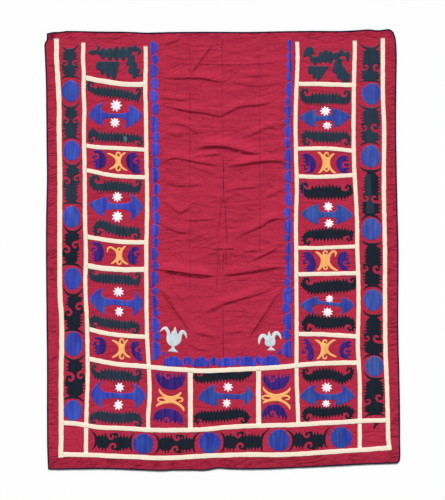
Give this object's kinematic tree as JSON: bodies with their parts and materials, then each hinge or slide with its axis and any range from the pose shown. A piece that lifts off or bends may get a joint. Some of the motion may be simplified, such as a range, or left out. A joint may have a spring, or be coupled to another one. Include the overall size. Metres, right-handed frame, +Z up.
{
  "type": "suzani embroidered textile",
  "caption": "Large crimson suzani cloth lying flat, with a bound edge, cream tapes sewn on in a grid, folk embroidery in the cells and border, and soft folds in the plain middle.",
  "frame": {"origin": "centre of the bounding box, on the surface that the cloth lies on", "axes": "+Y towards the cloth's top edge, +X to its right seen face up, +Z up off the surface"},
  "size_m": [1.7448, 2.164, 0.0138],
  "materials": {
    "crimson_cotton": "matt plain-weave cotton",
    "dark_binding": "matt woven strip",
    "cream_tape": "matt woven cotton tape"
  },
  "bodies": {
    "root": {"ground_cloth": "crimson_cotton", "binding": "dark_binding", "tape_left_outer": "cream_tape", "tape_left_middle": "cream_tape", "tape_left_inner": "cream_tape", "tape_right_inner": "cream_tape", "tape_right_middle": "cream_tape", "tape_right_outer": "cream_tape", "tape_cross_upper": "cream_tape", "tape_cross_middle": "cream_tape", "tape_cross_lower": "cream_tape", "rung_left_1": "cream_tape", "rung_left_2": "cream_tape", "rung_left_3": "cream_tape", "rung_left_4": "cream_tape", "rung_left_5": "cream_tape", "rung_left_6": "cream_tape", "rung_right_1": "cream_tape", "rung_right_2": "cream_tape", "rung_right_3": "cream_tape", "rung_right_4": "cream_tape", "rung_right_5": "cream_tape", "rung_right_6": "cream_tape", "divider_left": "cream_tape", "divider_right": "cream_tape"}
  },
  "joints": []
}
